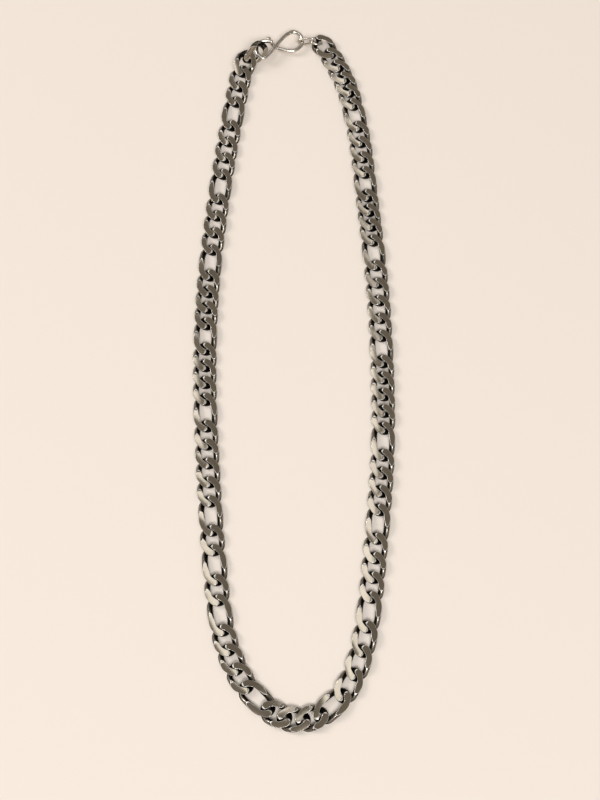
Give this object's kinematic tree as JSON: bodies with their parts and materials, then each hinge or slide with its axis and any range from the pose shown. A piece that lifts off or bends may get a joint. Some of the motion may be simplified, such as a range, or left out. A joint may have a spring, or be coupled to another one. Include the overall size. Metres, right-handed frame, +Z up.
{
  "type": "curb chain necklace",
  "caption": "Flat curb chain necklace in a figaro pattern of short and long ground links, closed by an S-hook and laid down as a long loop.",
  "frame": {"origin": "centre of the bounding box on the surface that the chain lies on", "axes": "+Z up from the surface, +Y from the bottom bend to the hook, +X to the right strand"},
  "size_m": [0.0657, 0.2457, 0.0073],
  "materials": {
    "ground_steel": "polished steel with ground flats, slightly darkened in the recesses",
    "bright_wire": "bright drawn wire"
  },
  "bodies": {
    "root": {"chain_left": "ground_steel", "chain_right": "ground_steel", "hook_clasp": "bright_wire", "connector_link": "bright_wire", "jump_ring": "bright_wire"}
  },
  "joints": []
}
